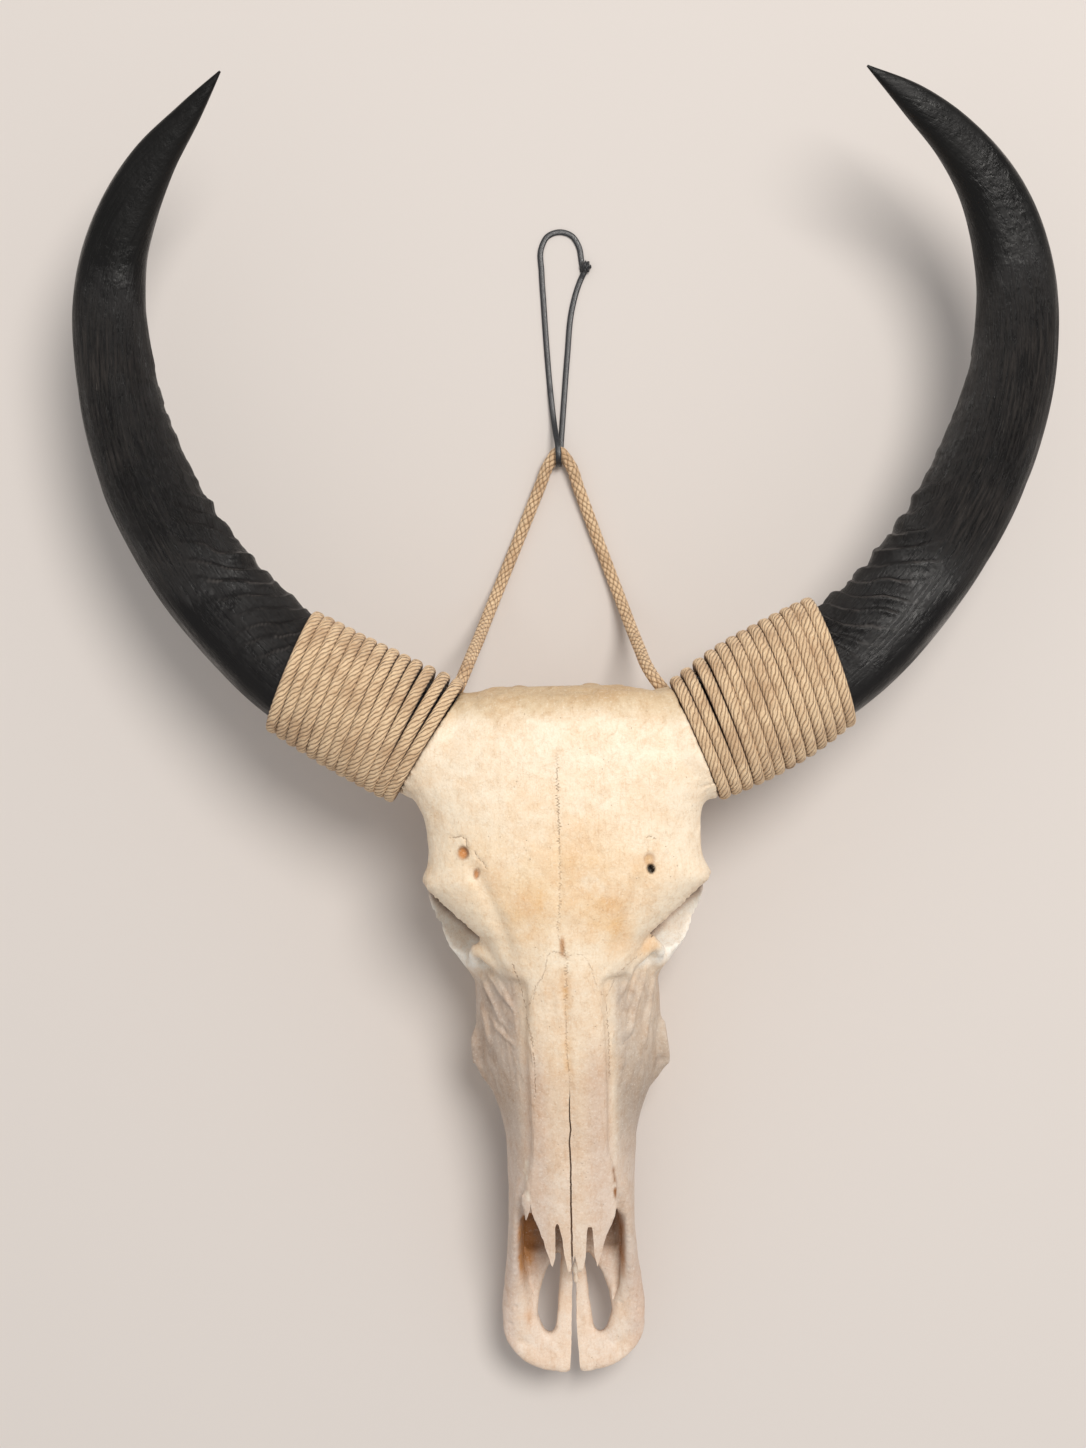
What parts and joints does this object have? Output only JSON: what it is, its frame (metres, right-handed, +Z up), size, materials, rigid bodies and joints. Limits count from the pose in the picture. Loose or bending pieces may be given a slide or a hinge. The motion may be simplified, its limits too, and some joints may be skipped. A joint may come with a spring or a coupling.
{
  "type": "buffalo skull",
  "caption": "Horned buffalo skull without its lower jaw, lying face up, with rope wound round both horn bases and a hanging loop behind it.",
  "frame": {"origin": "middle of the underside of the box round the skull, horns and rope windings, on the surface that the skull lies on", "axes": "+Y from the snout towards the horn tips, +Z up from the teeth to the forehead, +X to the right in a view from above with the horns at the top"},
  "size_m": [0.8134, 1.0846, 0.2041],
  "materials": {
    "bone": "dry weathered bone, matt, ivory with ochre patches",
    "horn": "dark horn sheath with a grey sheen, wrinkled near the base",
    "jute": "laid natural jute rope",
    "black_cord": "smooth black lace, slightly shiny"
  },
  "bodies": {
    "root": {"cranium": "bone", "upper_jaw_left": "bone", "upper_jaw_right": "bone", "nasal_left": "bone", "nasal_right": "bone", "premaxilla_left": "bone", "premaxilla_right": "bone", "horn_left": "horn", "horn_right": "horn", "wrap_left": "jute", "wrap_right": "jute", "hanger_rope": "jute", "hanger_cord": "black_cord", "cord_knot": "black_cord"}
  },
  "joints": []
}
